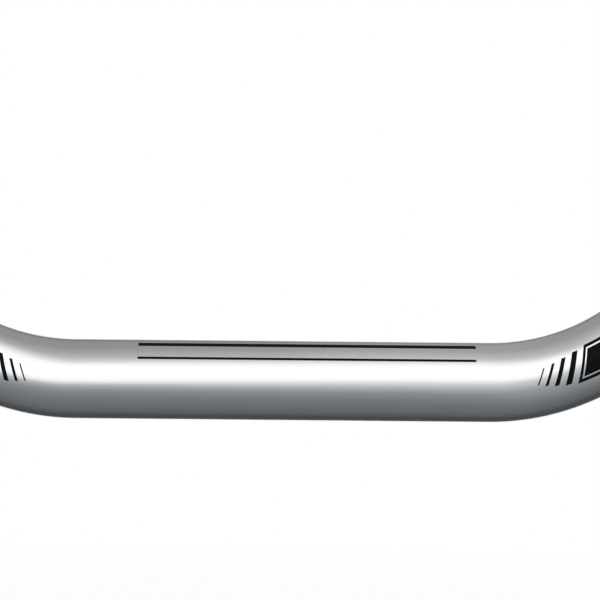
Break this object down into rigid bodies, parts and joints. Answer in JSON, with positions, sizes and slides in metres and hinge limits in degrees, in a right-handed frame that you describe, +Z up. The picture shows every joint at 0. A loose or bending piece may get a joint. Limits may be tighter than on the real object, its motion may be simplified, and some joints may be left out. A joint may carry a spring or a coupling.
{
  "type": "bicycle handlebar",
  "caption": "Bent riser handlebar tube that tapers from a wide stem clamp section through raised bends to slim, back-swept grip ends with open bores.",
  "frame": {"origin": "centre of the stem clamp section, on the tube's centre line", "axes": "+X along the clamp section, +Z up the way the bar rises, +Y back towards the rider, so that -Y is the front seen in the picture"},
  "size_m": [0.6832, 0.0509, 0.0821],
  "materials": {
    "bright_alloy": "polished, with a faint satin grain along the tube",
    "black_print": "semi-gloss black print under clear lacquer"
  },
  "bodies": {
    "root": {"handlebar": "bright_alloy"}
  },
  "joints": []
}
